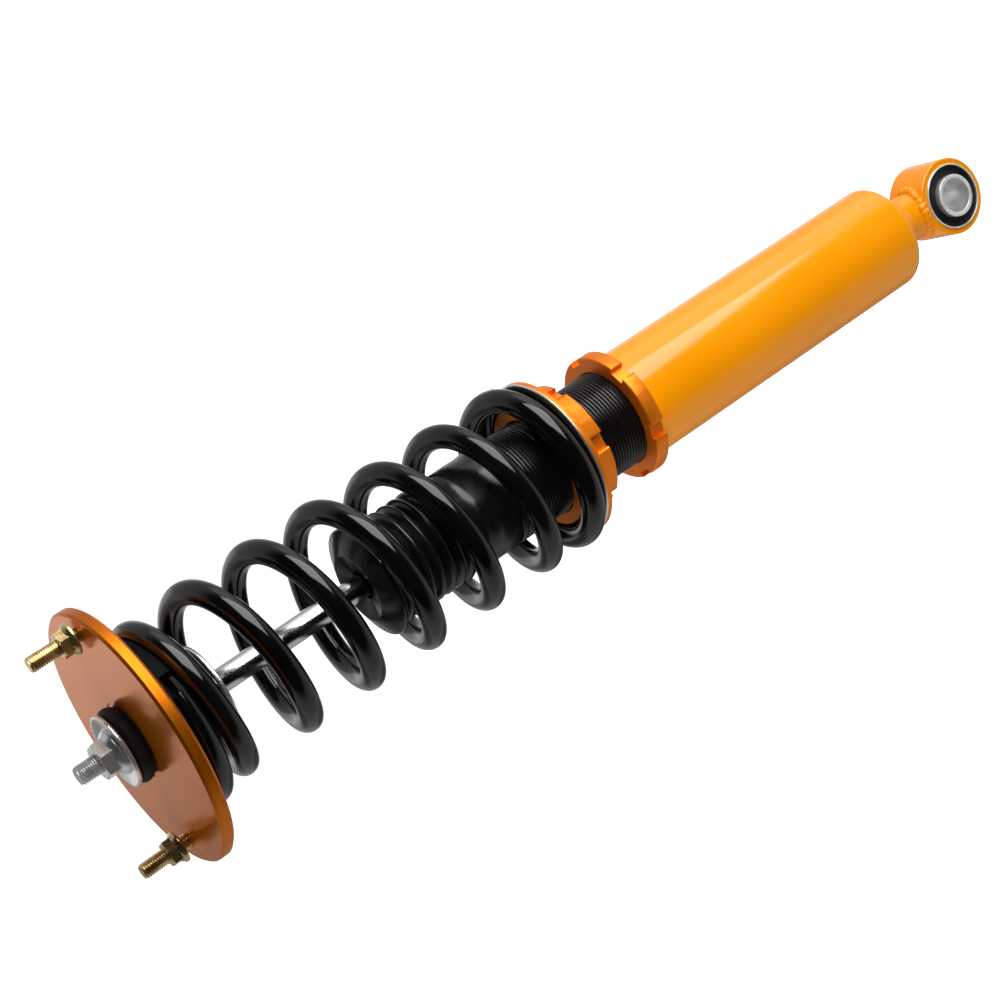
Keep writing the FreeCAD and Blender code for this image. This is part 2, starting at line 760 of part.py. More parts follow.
def rod_guide_group():
    guide = new_body("rod_guide", GUIDE_END)
    wall = "bore_radius - run_gap"
    bush = f"({ROD_RADIUS} + run_gap + guide_bush_wall)"
    seal = f"({ROD_RADIUS} + run_gap + seal_wall)"
    seal_floor = "(guide_height - seal_height)"
    rod_hole = f"{ROD_RADIUS} + 2 * run_gap"
    turned(guide, [
        (bush, "0"),
        (f"{wall} - edge_break", "0"),
        (wall, "edge_break"),
        (wall, "guide_height"),
        (seal, "guide_height"),
        (seal, seal_floor),
        (rod_hole, seal_floor),
        (rod_hole, "guide_bush_height"),
        (bush, "guide_bush_height"),
    ])
    groove_floor = f"({wall} - 2 * ring_section + ring_squeeze)"
    groove_cut(guide, groove_floor, "bore_radius", "guide_height / 3", "ring_section")
    o_ring("guide_o_ring", f"{GUIDE_END} + guide_height / 3", groove_floor)

    bearing = new_body("guide_bush", GUIDE_END)
    turned(bearing, ring_outline(f"{ROD_RADIUS} + run_gap", f"{bush} - press_gap", "guide_bush_height"))

    lips = new_body("rod_seal", f"{GUIDE_END} + {seal_floor}")
    inner = f"{ROD_RADIUS} + run_gap"
    middle = f"{ROD_RADIUS} + seal_wall / 3"
    turned(lips, [
        (inner, "0"),
        (f"{seal} - press_gap", "0"),
        (f"{seal} - press_gap", "seal_height"),
        (middle, "seal_height"),
        (middle, "seal_height * 0.8"),
        (inner, "seal_height * 0.9"),
        (inner, "seal_height * 0.7"),
        (middle, "seal_height * 0.6"),
        (middle, "seal_height * 0.3"),
        (inner, "seal_height * 0.2"),
    ])

    clip = new_body("seal_circlip", f"{BODY_TOP} - guide_inset")
    outer = "bore_radius + circlip_groove - run_gap"
    turned(clip, ring_outline(f"{outer} - circlip_width", outer, "circlip_height - run_gap"))
    box_cut(clip, "Opening", ("0", "0 - circlip_opening / 2", "0"),
            ("bore_radius * 2", "circlip_opening", "circlip_height"))


def ring_outline(inner, outer, height):
    return [(inner, "0"), (outer, "0"), (outer, height), (inner, height)]


def groove_cut(body, floor, edge, centre, half, name="RingGroove"):
    turned_cut(body, [
        (floor, f"{centre} - {half}"),
        (f"{edge} + 1", f"{centre} - {half}"),
        (f"{edge} + 1", f"{centre} + {half}"),
        (floor, f"{centre} + {half}"),
    ], name)


def bump_stop_group():
    cap = new_body("bump_cap", BODY_TOP)
    turned(cap, ring_outline("bump_cap_hole", f"{NECK_RADIUS} - run_gap", "bump_cap_thickness"))

    stop = new_body("bump_stop", f"{BODY_TOP} + bump_cap_thickness")
    tall = f"({BOOT_FLOOR} - rubber_gap - neck_height - bump_cap_thickness)"
    hole = f"{ROD_RADIUS} + rubber_gap"
    waist = "bump_stop_radius - bump_stop_waist"
    corners = [(hole, "0"), ("bump_stop_radius", "0")]
    for share in (0.34, 0.67):
        corners.append(("bump_stop_radius", f"{tall} * {share - 0.09}"))
        corners.append((waist, f"{tall} * {share}"))
        corners.append(("bump_stop_radius", f"{tall} * {share + 0.09}"))
    corners += [("bump_stop_radius", tall), (hole, tall)]
    turned(stop, corners)


def dust_boot():
    """Cuff on the body's neck, a run of ribs, and a blunt cone over the bump stop, dished round the rod."""
    body = new_body("dust_boot", THREAD_TOP)
    cuff = f"({NECK_RADIUS} + boot_cuff_wall)"
    cup = "(boot_groove_radius + boot_cup_rise)"
    hole = f"{ROD_RADIUS} + boot_rod_gap"
    outer = [(NECK_RADIUS, "0"), (cuff, "0"), (cuff, "neck_height")]
    inner = []
    for rib in range(round(value("boot_rib_count"))):
        base = f"{RIBS_START} + {rib} * boot_rib_pitch"
        for rise, share in ((0, 0.1), (1, 0.32), (1, 0.68), (0, 0.9)):
            radius = f"boot_groove_radius + {rise} * boot_rib_rise"
            height = f"{base} + {share} * boot_rib_pitch"
            outer.append((radius, height))
            inner.append((f"{radius} - boot_wall", height))
    outer += [
        ("boot_groove_radius", RIBS_END),
        (cup, f"{RIBS_END} + boot_cup_height * 0.3"),
        (cup, f"{RIBS_END} + boot_cup_height * 0.45"),
        (f"{cup} - edge_break", f"{RIBS_END} + boot_cup_height * 0.5"),
        ("boot_nose_radius + edge_break", BOOT_HEIGHT),
        ("boot_nose_radius - edge_break", BOOT_HEIGHT),
        (hole, f"{BOOT_HEIGHT} - boot_dish_depth"),
        (hole, BOOT_FLOOR),
        ("boot_groove_radius - boot_wall", BOOT_FLOOR),
    ]
    inner = [(NECK_RADIUS, "neck_height + bump_cap_thickness")] + inner
    turned(body, outer + inner[::-1])


def rod_and_piston():
    rod = new_body("piston_rod", PISTON_NUT_END + " - rod_end_show", "rod_flat_angle")
    bottom = f"({PISTON_NUT_END} - rod_end_show)"
    pack = f"({PACK_TOP} - {bottom})"
    shoulder = f"({ROD_SHOULDER} - {bottom})"
    tip = f"(rod_tip_height - {bottom})"
    waist = "rod_stud_radius - thread_depth"
    nut_base = f"({WASHER_TOP} - {bottom})"
    low_nut = "(rod_end_show + piston_nut_height)"
    turned(rod, [
        ("0", "0"),
        ("rod_stud_radius - rod_tip_chamfer", "0"),
        ("rod_stud_radius", "rod_tip_chamfer"),
        ("rod_stud_radius", "rod_end_show"),
        (waist, "rod_end_show"),
        (waist, low_nut),
        ("rod_stud_radius", low_nut),
        ("rod_stud_radius", pack),
        (ROD_RADIUS, pack),
        (ROD_RADIUS, shoulder),
        ("rod_stud_radius", shoulder),
        ("rod_stud_radius", nut_base),
        (waist, nut_base),
        (waist, f"{nut_base} + rod_nut_height"),
        ("rod_stud_radius", f"{nut_base} + rod_nut_height"),
        ("rod_stud_radius", f"{tip} - rod_tip_chamfer"),
        ("rod_stud_radius - rod_tip_chamfer", tip),
        ("0", tip),
    ])
    start = ("rod_stud_radius - rod_flat_depth", "0 - rod_stud_radius", f"{tip} - rod_flat_length")
    size = ("rod_stud_radius", "2 * rod_stud_radius", "rod_flat_length")
    repeated(rod, box_cut(rod, "Flat", start, size), "2", "Flats")

    hole = "rod_stud_radius + run_gap"
    stop = new_body("rebound_stop", PACK_TOP)
    reach = f"{ROD_RADIUS} + rebound_stop_wall"
    turned(stop, ring_outline(f"{ROD_RADIUS} + run_gap", reach, "rebound_stop_height"))

    piston = new_body("piston", PISTON_END)
    side = "(bore_radius - 4 * run_gap)"
    turned(piston, [
        (hole, "0"),
        (f"{side} - edge_break", "0"),
        (side, "edge_break"),
        (side, "piston_height - edge_break"),
        (f"{side} - edge_break", "piston_height"),
        (hole, "piston_height"),
    ])
    floor = "(bore_radius - run_gap - piston_band_wall)"
    groove_cut(piston, floor, "bore_radius", "piston_height / 2", "piston_band_height / 2", "BandGroove")
    port = circle_outline(piston, "PortCircle", "port_radius", "port_circle")
    repeated(piston, cut_through(piston, port, "Port"), "port_count", "Ports")

    band = new_body("piston_band", f"{PISTON_END} + (piston_height - piston_band_height) / 2 + press_gap")
    height = "piston_band_height - 2 * press_gap"
    turned(band, ring_outline(f"{floor} + press_gap", "bore_radius - run_gap", height))

    shims = []
    for name, level in (("upper", f"{PACK_TOP} - shim_height"), ("lower", f"{PISTON_END} - shim_height")):
        stack = new_body(f"{name}_shims", level, node=False)
        turned(stack, ring_outline(hole, "rod_stud_radius + shim_width", "shim_height"))
        shims.append(stack)
    group("piston_shims", shims)
    bore = "rod_stud_radius - thread_depth + run_gap"
    nut("piston_nut", PISTON_NUT_END, "piston_nut_flats", "piston_nut_height", bore)


def gas_piston():
    body = new_body("floating_piston", GAS_PISTON_END)
    wall = "(bore_radius - run_gap)"
    cup = f"{wall} - gas_piston_wall"
    depth = "(gas_piston_height - gas_piston_floor)"
    turned(body, [
        ("0", depth),
        (cup, depth),
        (cup, "0"),
        (wall, "0"),
        (wall, "gas_piston_height"),
        ("0", "gas_piston_height"),
    ])
    floor = f"({wall} - 2 * ring_section + ring_squeeze)"
    groove_cut(body, floor, "bore_radius", "gas_piston_height / 2", "ring_section")
    o_ring("floating_piston_ring", f"{GAS_PISTON_END} + gas_piston_height / 2", floor)


def lower_tube():
    body = new_body("lower_tube", TUBE_END)
    tall = f"({TUBE_TOP} - {TUBE_END})"
    feature = turned(body, [
        ("0", "0"),
        (TUBE_RADIUS, "0"),
        (TUBE_RADIUS, f"{tall} - edge_break"),
        (f"{TUBE_RADIUS} - edge_break", tall),
        (THREAD_BORE, tall),
        (THREAD_BORE, "tube_end_wall"),
        ("0", "tube_end_wall"),
    ])
    rounded(body, feature, [(TUBE_RADIUS, "0")], "tube_end_round")


def lay_on_eye(item):
    """Turns a piece made about its own Z axis to lie on the eye's axis, at the eye's centre."""
    heading = math.radians(value("eye_angle"))
    item.Placement.Rotation = FreeCAD.Rotation(UP, Vector(math.cos(heading), math.sin(heading), 0))


def eye_body(label, corners):
    """A piece turned about the eye's axis, with its heights counted from mid-length."""
    body = new_body(label, EYE_CENTRE)
    turned(body, corners)
    lay_on_eye(body)
    return body


def eye_and_bush():
    half = "eye_length / 2"
    eye_body("eye_tube", [
        ("eye_bore_radius", f"0 - {half}"),
        (f"{EYE_RADIUS} - edge_break", f"0 - {half}"),
        (EYE_RADIUS, f"edge_break - {half}"),
        (EYE_RADIUS, f"{half} - edge_break"),
        (f"{EYE_RADIUS} - edge_break", half),
        ("eye_bore_radius", half),
    ])
    shell = "(eye_bore_radius - press_gap)"
    rubber = "(eye_bore_radius - press_gap - outer_sleeve_wall)"
    eye_body("bush_outer_sleeve", [
        (rubber, f"0 - {half}"),
        (shell, f"0 - {half}"),
        (shell, half),
        (rubber, half),
    ])
    inner = f"{PIN_SLEEVE_RADIUS} + run_gap"
    middle = f"({rubber} + {PIN_SLEEVE_RADIUS}) / 2"
    edge = f"({half} - press_gap)"
    eye_body("bush_rubber", [
        (inner, f"0 - {edge}"),
        (middle, f"rubber_recess - {edge}"),
        (f"{rubber} - press_gap", f"0 - {edge}"),
        (f"{rubber} - press_gap", edge),
        (middle, f"{edge} - rubber_recess"),
        (inner, edge),
    ])
    pin = "pin_sleeve_length / 2"
    eye_body("bush_inner_sleeve", [
        ("pin_bore_radius", f"pin_chamfer - {pin}"),
        ("pin_bore_radius + pin_chamfer", f"0 - {pin}"),
        (f"{PIN_SLEEVE_RADIUS} - pin_chamfer", f"0 - {pin}"),
        (PIN_SLEEVE_RADIUS, f"pin_chamfer - {pin}"),
        (PIN_SLEEVE_RADIUS, f"{pin} - pin_chamfer"),
        (f"{PIN_SLEEVE_RADIUS} - pin_chamfer", pin),
        ("pin_bore_radius + pin_chamfer", pin),
        ("pin_bore_radius", f"{pin} - pin_chamfer"),
    ])


def eye_neck():
    """The stub between tube and eye, flared at the tube and coped round the eye."""
    body = new_body("eye_neck", EYE_CENTRE, "eye_angle")
    top = f"({EYE_RADIUS} + neck_show)"
    turned(body, [
        ("0", f"{EYE_RADIUS} / 2"),
        (STUB_RADIUS, f"{EYE_RADIUS} / 2"),
        (STUB_RADIUS, f"{top} - neck_show * 0.6"),
        (f"{STUB_RADIUS} + neck_flare", f"{top} - neck_show * 0.15"),
        (f"{STUB_RADIUS} + neck_flare", top),
        ("0", top),
    ])
    cope = circle_outline(body, "CopeCircle", f"{EYE_RADIUS} + press_gap", plane="YZ_Plane")
    cut_through(body, cope, "Cope", both_ways=True)
    return body


def weld_beads(neck):
    """A bead along the saddle line where the stub meets the eye, with stub and eye taken out of it."""
    stub = value(STUB_RADIUS)
    eye = value(EYE_RADIUS)
    turn = FreeCAD.Rotation(UP, value("eye_angle"))
    centre = Vector(0, 0, value(EYE_CENTRE))

    def point(share):
        angle = 2 * math.pi * share
        across = stub * math.sin(angle)
        height = math.sqrt(eye * eye - across * across)
        return centre + turn.multVec(Vector(stub * math.cos(angle), across, height))

    def way(share):
        return (point(share + 0.001) - point(share - 0.001)).normalize()

    count = 12
    shares = [index / count for index in range(count + 1)]
    arcs = []
    for first, last in zip(shares, shares[1:]):
        arcs += biarc(point(first), way(first), point(last), way(last))
    path = doc.addObject("Part::Feature", "WeldPath")
    path.Shape = Part.Wire(arcs)
    section = doc.addObject("Part::Circle", "WeldSection")
    bind(section, "Radius", "weld_radius")
    section.Placement = FreeCAD.Placement(point(0), FreeCAD.Rotation(UP, way(0)))
    tube = doc.addObject("Part::Sweep", "WeldTube")
    tube.Sections = [section]
    tube.Spine = (path, [f"Edge{number}" for number in range(1, len(arcs) + 1)])
    tube.Solid = True
    tube.Frenet = False
    eye_space = doc.addObject("Part::Cylinder", "EyeSpace")
    bind(eye_space, "Radius", f"{EYE_RADIUS} + press_gap")
    bind(eye_space, "Height", "2 * eye_length")
    heading = turn.multVec(Vector(1, 0, 0))
    base = centre - heading * value("eye_length")
    eye_space.Placement = FreeCAD.Placement(base, FreeCAD.Rotation(UP, heading))
    taken = doc.addObject("Part::MultiFuse", "WeldRoom")
    taken.Shapes = [neck, eye_space]
    bead = doc.addObject("Part::Cut", "weld_beads")
    bead.Label = "weld_beads"
    bead.Base = tube
    bead.Tool = taken
    nodes.append(bead)


def failures():
    """Objects whose last recompute failed, and nodes without a valid shape."""
    found = [f"{item.Name}: {item.State}" for item in doc.Objects
             if "Invalid" in item.State or "Error" in item.State]
    for node in nodes:
        if node.Shape.isNull() or not node.Shape.isValid() or not node.Shape.Solids:
            found.append(f"{node.Label}: no valid solid")
    return found


def main():
    top_plate()
    studs_and_nuts()
    top_mount_stack()
    upper_spring_seat()
    main_spring()
    rod_and_piston()
    damper_body()
    rod_guide_group()
    bump_stop_group()
    dust_boot()
    gas_piston()
    isolator_and_perch()
    lock_collar()
    lower_tube()
    weld_beads(eye_neck())
    eye_and_bush()
    doc.recompute()
    found = failures()
    if found:
        raise RuntimeError("; ".join(found))
    os.makedirs("parts", exist_ok=True)
    for node in nodes:
        node.Shape.exportStep(f"parts/{node.Label}.step")
        print(f"{node.Label}: {len(node.Shape.Solids)} solid(s), {node.Shape.Volume / 1000:.2f} cm3")


main()
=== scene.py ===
import json
import math

import bmesh
import bpy
from mathutils import Matrix, Vector


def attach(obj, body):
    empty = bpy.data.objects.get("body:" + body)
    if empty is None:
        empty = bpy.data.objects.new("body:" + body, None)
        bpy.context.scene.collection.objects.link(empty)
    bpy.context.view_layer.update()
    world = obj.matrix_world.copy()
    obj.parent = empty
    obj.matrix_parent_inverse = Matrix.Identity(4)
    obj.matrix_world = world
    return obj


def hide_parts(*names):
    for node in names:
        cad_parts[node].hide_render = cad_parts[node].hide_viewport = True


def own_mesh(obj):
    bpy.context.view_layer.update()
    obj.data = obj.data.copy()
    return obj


# The looks of the coil-over damper. Its lengths are millimetres until they become mesh points, in the frame of the
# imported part: the origin is the centre of the top plate's upper face and +Z points up. Camera, stage and lights are
# placed in metres.

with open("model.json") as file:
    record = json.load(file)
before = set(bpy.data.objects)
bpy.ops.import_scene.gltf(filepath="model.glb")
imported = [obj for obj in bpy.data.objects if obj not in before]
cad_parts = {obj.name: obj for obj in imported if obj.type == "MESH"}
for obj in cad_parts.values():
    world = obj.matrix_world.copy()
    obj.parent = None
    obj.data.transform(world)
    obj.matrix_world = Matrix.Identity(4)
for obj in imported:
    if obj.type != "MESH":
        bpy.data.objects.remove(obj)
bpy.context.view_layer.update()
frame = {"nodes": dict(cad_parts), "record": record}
nodes = frame["nodes"]

MM = 0.001
TURN = 2 * math.pi

# The photograph's camera: the damper's axis, from the plate to the eye, and the plate's centre in metres, as the
# camera sees them, with x to the right, y up and z backwards; and the studs' turn about the axis
VIEW_AXIS = Vector((0.74809, 0.50528, -0.43017)).normalized()
VIEW_CENTRE = Vector((-0.16995, -0.11118, -1.02695))
STUD_ANGLE = math.radians(21.65)
LENS = 79.8
SENSOR = 36


def view_matrix():
    """From the part's frame to the camera's."""
    side = Vector((0, 0, 1)).cross(VIEW_AXIS).normalized()
    front = VIEW_AXIS.cross(side)
    up = -VIEW_AXIS
    across = side * math.cos(STUD_ANGLE) + front * math.sin(STUD_ANGLE)
    turn = Matrix((across, up.cross(across), up)).transposed()
    return Matrix.Translation(VIEW_CENTRE) @ turn.to_4x4()


TO_WORLD = view_matrix().inverted()


def square_to(way, other):
    """The other way made square to the first, and the third way, square to both."""
    other = (other - way * other.dot(way)).normalized()
    return other, way.cross(other)


def add_camera():
    data = bpy.data.cameras.new("camera")
    data.lens = LENS
    data.sensor_width = SENSOR
    data.clip_start = 0.01
    data.clip_end = 100
    camera = bpy.data.objects.new("camera", data)
    camera.matrix_world = TO_WORLD
    bpy.context.scene.collection.objects.link(camera)
    bpy.context.scene.camera = camera


# Materials


def new_material(name):
    """A material, its tree, its shader and the object's own coordinates."""
    material = bpy.data.materials.new(name)
    material.use_nodes = True
    tree = material.node_tree
    shader = next(node for node in tree.nodes if node.type == "BSDF_PRINCIPLED")
    place = tree.nodes.new("ShaderNodeTexCoord").outputs["Object"]
    return material, tree, shader, place


def noise(tree, place, scale, detail=3.0):
    """A noise value from 0 to 1."""
    node = tree.nodes.new("ShaderNodeTexNoise")
    node.inputs["Scale"].default_value = scale
    node.inputs["Detail"].default_value = detail
    tree.links.new(place, node.inputs["Vector"])
    return node.outputs["Fac"]


def spread(tree, fac, low, high, start=0.35, end=0.65):
    """The factor's stretch from start to end, a noise's middle unless said, brought to run from low to high."""
    node = tree.nodes.new("ShaderNodeMapRange")
    for name, number in (("From Min", start), ("From Max", end), ("To Min", low), ("To Max", high)):
        node.inputs[name].default_value = number
    tree.links.new(fac, node.inputs["Value"])
    return node.outputs["Result"]


def mixed(tree, fac, first, second):
    """Two colours mixed by a factor; either may be a socket."""
    node = tree.nodes.new("ShaderNodeMix")
    node.data_type = "RGBA"
    inputs = [socket for socket in node.inputs if socket.type == "RGBA"]
    for socket, colour in zip(inputs, (first, second)):
        if isinstance(colour, tuple):
            socket.default_value = (*colour, 1)
        else:
            tree.links.new(colour, socket)
    tree.links.new(fac, node.inputs["Factor"])
    return next(socket for socket in node.outputs if socket.type == "RGBA")


def surface(name, dark, light, roughness, metallic, patch, grain, grain_depth, rough_spread=0.06, level=0.5):
    """A finish whose colour drifts between two tones and whose roughness and bump follow a finer grain."""
    material, tree, shader, place = new_material(name)
    tone = spread(tree, noise(tree, place, patch), 0, 1)
    tree.links.new(mixed(tree, tone, dark, light), shader.inputs["Base Color"])
    fine = noise(tree, place, grain, 2.0)
    rough = spread(tree, fine, max(roughness - rough_spread, 0.02), roughness + rough_spread)
    tree.links.new(rough, shader.inputs["Roughness"])
    shader.inputs["Metallic"].default_value = metallic
    shader.inputs["Specular IOR Level"].default_value = level
    bump = tree.nodes.new("ShaderNodeBump")
    bump.inputs["Distance"].default_value = grain_depth
    tree.links.new(fine, bump.inputs["Height"])
    tree.links.new(bump.outputs["Normal"], shader.inputs["Normal"])
    return material


# Each finish: its two tones, its roughness and metallic value, the scales of its patches and of its grain, the
# grain's depth in metres and, where they aren't the usual ones, how far the roughness spreads and the specular level
FINISHES = {
    "anodised_plate": ((0.88, 0.225, 0.002), (0.94, 0.25, 0.004), 0.21, 0.65, 25, 700, 5e-7, 0.015),
    "anodised_ring": ((0.88, 0.21, 0.002), (0.93, 0.235, 0.004), 0.4, 0.62, 40, 900, 1e-6, 0.02),
    "yellow_zinc": ((0.52, 0.37, 0.13), (0.84, 0.68, 0.38), 0.22, 0.93, 200, 1500, 2e-6, 0.04),
    "bright_zinc": ((0.76, 0.77, 0.76), (0.94, 0.94, 0.92), 0.24, 0.84, 90, 1300, 1e-6, 0.02),
    "cut_steel": ((0.6, 0.6, 0.6), (0.85, 0.85, 0.85), 0.4, 0.2, 200, 1300, 3e-6),
    "plain_steel": ((0.42, 0.42, 0.42), (0.64, 0.64, 0.63), 0.34, 0.6, 160, 1200, 4e-6, 0.04),
    "plain_aluminium": ((0.6, 0.6, 0.61), (0.72, 0.72, 0.73), 0.35, 1.0, 90, 900, 6e-6),
    "bearing_bronze": ((0.42, 0.27, 0.12), (0.55, 0.37, 0.18), 0.38, 1.0, 90, 900, 6e-6),
    "bearing_plastic": ((0.06, 0.055, 0.05), (0.1, 0.09, 0.08), 0.5, 0.0, 90, 900, 1e-5),
    "chrome_rod": ((0.66, 0.66, 0.69), (0.74, 0.74, 0.77), 0.18, 1.0, 60, 900, 2e-7, 0.01),
    "black_rubber": ((0.004, 0.004, 0.0045), (0.01, 0.01, 0.011), 0.62, 0.0, 120, 1400, 2e-5, 0.06, 0.3),
    "black_boot_rubber": ((0.003, 0.003, 0.0035), (0.007, 0.007, 0.0075), 0.25, 0.0, 70, 160, 1.2e-5, 0.03),
    "black_plastic": ((0.002, 0.002, 0.002), (0.004, 0.004, 0.004), 0.5, 0.0, 90, 1100, 1e-5, 0.06, 0.04),
    "black_spring_coat": ((0.002, 0.002, 0.0022), (0.004, 0.004, 0.0043), 0.11, 0.0, 40, 260, 1e-5, 0.03),
    "black_body_coat": ((0.003, 0.003, 0.0033), (0.007, 0.007, 0.0075), 0.24, 0.0, 90, 800, 2e-6, 0.02),
    "orange_paint": ((0.93, 0.308, 0.001), (0.97, 0.33, 0.003), 0.14, 0.0, 14, 180, 1e-5, 0.03),
}
MATERIALS = {name: surface(name, *values) for name, values in FINISHES.items()}

# Where the plate's face ends and its turned rim begins, half the width of the change, and what the rim has instead
PLATE_RIM = 67.2
RIM_BLUR = 0.1
RIM_VALUES = {"Base Color": (0.62, 0.155, 0.002), "Roughness": 0.38, "Metallic": 0.85}


def at_rim(material, socket, radius, value):
    """Gives one of the shader's numbers or colours another value beyond a radius about the damper's axis."""
    tree = material.node_tree
    shader = next(node for node in tree.nodes if node.type == "BSDF_PRINCIPLED")
    flat = tree.nodes.new("ShaderNodeMapping")
    flat.inputs["Scale"].default_value = (1, 1, 0)
    tree.links.new(tree.nodes.new("ShaderNodeTexCoord").outputs["Object"], flat.inputs["Vector"])
    reach = tree.nodes.new("ShaderNodeVectorMath")
    reach.operation = "LENGTH"
    tree.links.new(flat.outputs["Vector"], reach.inputs[0])
    outside = spread(tree, reach.outputs["Value"], 0, 1, (radius - RIM_BLUR) * MM, (radius + RIM_BLUR) * MM)
    target = shader.inputs[socket]
    if isinstance(value, tuple):
        tree.links.new(mixed(tree, outside, target.links[0].from_socket, value), target)
        return
    blend = tree.nodes.new("ShaderNodeMix")
    first, second = [entry for entry in blend.inputs if entry.type == "VALUE" and entry.name in ("A", "B")]
    if target.links:
        tree.links.new(target.links[0].from_socket, first)
    else:
        first.default_value = target.default_value
    second.default_value = value
    tree.links.new(outside, blend.inputs["Factor"])
    tree.links.new(next(entry for entry in blend.outputs if entry.type == "VALUE"), target)


for rim_socket, rim_value in RIM_VALUES.items():
    at_rim(MATERIALS["anodised_plate"], rim_socket, PLATE_RIM, rim_value)


# Meshes


def clean(bm):
    """Joins points that coincide and drops faces that have no area. Distances in metres."""
    bmesh.ops.remove_doubles(bm, verts=bm.verts, dist=2e-7)
    bmesh.ops.dissolve_degenerate(bm, edges=bm.edges, dist=1e-7)


def finished(name, bm, slot, body, sharp=35):
    """The mesh as a smooth object with its material, riding on its body. Edges over so many degrees stay sharp."""
    clean(bm)
    bmesh.ops.recalc_face_normals(bm, faces=bm.faces)
    mesh = bpy.data.meshes.new(name)
    bm.to_mesh(mesh)
    bm.free()
    mesh.shade_smooth()
    mesh.set_sharp_from_angle(angle=math.radians(sharp))
    mesh.materials.append(MATERIALS[slot])
    piece = bpy.data.objects.new(name, mesh)
    bpy.context.scene.collection.objects.link(piece)
    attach(piece, body)
    return piece


def ring_rows(outline, columns):
    """Level rings of points, one for each radius and height of an outline."""
    return [[(radius, TURN * column / columns, height) for column in range(columns + 1)] for radius, height in outline]


# A thread's crest and root as shares of its pitch, how much less than the root its chamfer leaves, and the slope
# at which it runs out at its foot
CREST = 0.26
ROOT = 0.04
TIP_GAP = 0.02
FOOT_SLOPE = 2


def thread_rows(thread, low, high, columns, chamfer):
    """Points along a right-hand thread, given as its radius, depth and pitch, from its crest to its root and back
    for every turn. It starts at its root at the low end, and the high end has a chamfer of the given height."""
    radius, depth, pitch = thread
    slope = (1 - CREST - ROOT) / 2
    shape = ((0, radius), (CREST, radius), (CREST + slope, radius - depth), (CREST + slope + ROOT, radius - depth))
    rows = []
    for turn in range(-1, math.ceil((high - low) / pitch) + 1):
        for share, reach in shape:
            row = []
            for column in range(columns + 1):
                height = min(max(low + pitch * (turn + share + column / columns), low), high)
                tip = radius - depth - TIP_GAP + (high - height) * (depth + TIP_GAP) / chamfer
                foot = radius - depth + (height - low) * FOOT_SLOPE
                row.append((min(reach, tip, foot), TURN * column / columns, height))
            rows.append(row)
    return rows


def skinned(rows, place=(0, 0)):
    """A closed skin over rows of points given as radius, angle and height about an upright line."""
    bm = bmesh.new()
    grid = []
    for row in rows:
        line = []
        for radius, angle, height in row:
            across = place[0] + radius * math.cos(angle)
            along = place[1] + radius * math.sin(angle)
            line.append(bm.verts.new((across * MM, along * MM, height * MM)))
        grid.append(line)
    for below, above in zip(grid, grid[1:]):
        for column in range(len(below) - 1):
            bm.faces.new((below[column], below[column + 1], above[column + 1], above[column]))
    clean(bm)
    return bm


def turned(outline, columns):
    """A ring turned from its closed outline."""
    rows = ring_rows(outline, columns)
    return skinned(rows + rows[:1])


def joined(bm, rings):
    """Faces between each closed ring of points and the next."""
    for before, after in zip(rings, rings[1:]):
        for index in range(len(before)):
            following = (index + 1) % len(before)
            bm.faces.new((before[index], before[following], after[following], after[index]))


# The studs, as the part has them: their distance from the axis, their tip, and their thread's radius, depth and
# pitch with its chamfer; and the outline of the head and the knurled shank that sit in the plate
STUD_REACH = 57.75
STUD_TIP = 26.2
STUD_THREAD = (4, 0.7, 1.25)
STUD_CHAMFER = 0.8
STUD_HEAD = ((0, -9.5), (6.1, -9.5), (6.5, -9.1), (6.5, -7), (4.25, -7), (4.25, -0.05), (3.3, 0))
STUD_COLUMNS = 48


def add_studs():
    for name, side in (("stud_near", 1), ("stud_far", -1)):
        rows = ring_rows(STUD_HEAD, STUD_COLUMNS)
        rows += thread_rows(STUD_THREAD, 0, STUD_TIP, STUD_COLUMNS, STUD_CHAMFER)
        rows += ring_rows([(0, STUD_TIP)], STUD_COLUMNS)
        stud = finished(name, skinned(rows, (side * STUD_REACH, 0)), "yellow_zinc", "top_mount")
        if side == 1:
            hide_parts("mounting_studs")


# The damper's body, as the part has it, with its thread
BODY_TOP = -197
BODY_THREAD_TOP = -219.5
BODY_END = -490
BODY_BORE = 23
BODY_NECK = 25
BODY_FOOT = 25.7
BODY_THREAD = (27, 1.05, 2)
BODY_CHAMFER = 1.2
BODY_COLUMNS = 120


def add_body():
    rows = ring_rows([(BODY_BORE, BODY_END), (BODY_FOOT, BODY_END)], BODY_COLUMNS)
    rows += thread_rows(BODY_THREAD, BODY_END, BODY_THREAD_TOP, BODY_COLUMNS, BODY_CHAMFER)
    rows += ring_rows([(BODY_NECK, BODY_THREAD_TOP), (BODY_NECK, BODY_TOP), (BODY_BORE, BODY_TOP),
                       (BODY_BORE, BODY_END)], BODY_COLUMNS)
    body = finished("threaded_body", skinned(rows), "black_body_coat", "damper_body")
    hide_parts("damper_tube")


# The spring's sizes, as the part has them, but for its numbers of turns, its closed turns' pitch and its lean, which
# follow the photograph more closely
SPRING_TOP = -15
SPRING_LENGTH = 244
SPRING_INNER = 35.25
WIRE = 6.25
GRIND = 4.5
ACTIVE_TURNS = 5.52
TIP_ANGLE = math.radians(-61)
# pitch, turns and ramp of the closed turns at the top and at the foot
HEAD = (9.5, 0.75, 0.4)
FOOT = (7, 0.65, 0.44)
